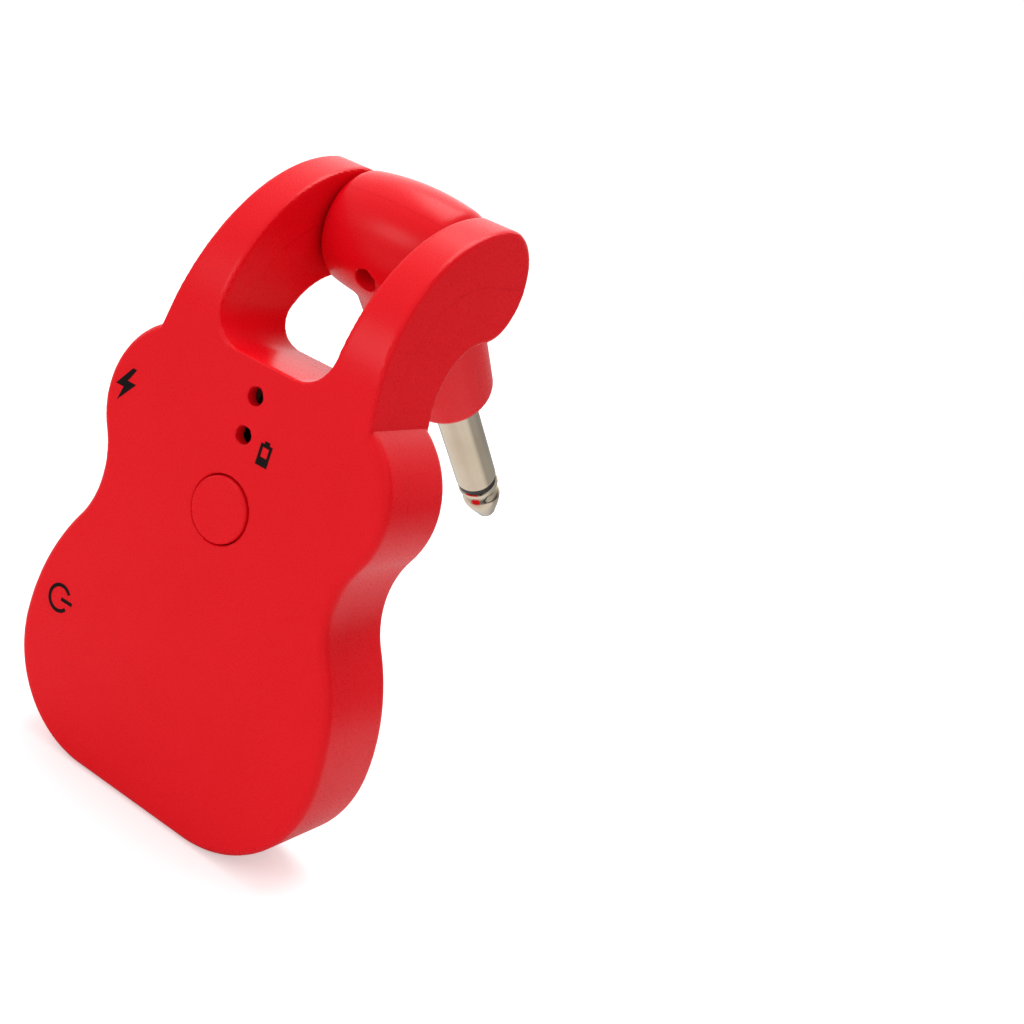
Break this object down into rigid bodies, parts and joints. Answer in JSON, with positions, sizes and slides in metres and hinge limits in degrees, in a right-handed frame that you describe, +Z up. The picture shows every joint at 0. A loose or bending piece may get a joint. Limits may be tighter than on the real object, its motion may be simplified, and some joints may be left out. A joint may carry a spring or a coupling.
{
  "type": "wireless guitar transmitter",
  "caption": "Guitar-shaped wireless transmitter with a jack plug on a swivelling barrel held between two curved arms; it plugs into an electric guitar.",
  "frame": {"origin": "middle of the flat bottom face of the housing", "axes": "+Z up the housing towards the swivel, -Y out of the front face, +X to the viewer's right"},
  "size_m": [0.0506, 0.0703, 0.0852],
  "materials": {
    "red_plastic": "semi-gloss moulded ABS",
    "screw_steel": "zinc-plated",
    "shield_metal": "tin-plated",
    "black_plastic": "matte",
    "plug_nickel": "nickel plated, polished",
    "board_green": "solder mask",
    "led_lens": "clear diffused",
    "cream_plastic": "matte",
    "ferrite": "matte",
    "ceramic": "matte",
    "battery_foil": "satin foil",
    "foam": "foam tape",
    "lead_sleeve": "PVC",
    "cable_sleeve": "PVC",
    "bush_fibre": "fibre"
  },
  "bodies": {
    "housing": {"front_shell": "red_plastic", "rear_shell": "red_plastic", "case_screws": "screw_steel", "circuit_board": "board_green", "usb_shell": "shield_metal", "usb_tongue": "black_plastic", "pair_switch_body": "shield_metal", "power_switch_body": "shield_metal", "signal_led": "led_lens", "battery_led": "led_lens", "radio_shield": "shield_metal", "main_chip": "black_plastic", "audio_chip": "black_plastic", "charger_chip": "black_plastic", "crystal": "shield_metal", "chip_antenna": "cream_plastic", "inductor": "ferrite", "capacitors": "ceramic", "battery": "battery_foil", "battery_pad": "foam", "battery_socket": "cream_plastic", "battery_plug": "cream_plastic", "battery_leads": "lead_sleeve", "arm_cable": "cable_sleeve"},
    "button": {"pair_button": "red_plastic", "pair_switch_plunger": "black_plastic"},
    "slider": {"power_knob": "red_plastic", "power_switch_lever": "black_plastic"},
    "swivel": {"barrel_front": "red_plastic", "barrel_rear": "red_plastic", "barrel_screw": "screw_steel", "friction_washers": "screw_steel", "plug_sleeve": "plug_nickel", "plug_insulator": "black_plastic", "plug_tip": "plug_nickel", "plug_bush": "bush_fibre", "ground_lug": "shield_metal", "swivel_cable": "cable_sleeve"}
  },
  "joints": [
    {"name": "plug_swivel", "type": "hinge", "parent": "housing", "child": "swivel", "pos_m": [0, 0.01455, 0.077], "axis": [1, 0, 0], "range_deg": [-49.5, 170.5]},
    {"name": "pair_press", "type": "slide", "parent": "housing", "child": "button", "axis": [0, 1, 0], "range_m": [0, 0.0003], "stiffness_N_per_m": 1500},
    {"name": "power_slide", "type": "slide", "parent": "housing", "child": "slider", "axis": [0, 0, 1], "range_m": [0, 0.003]}
  ]
}
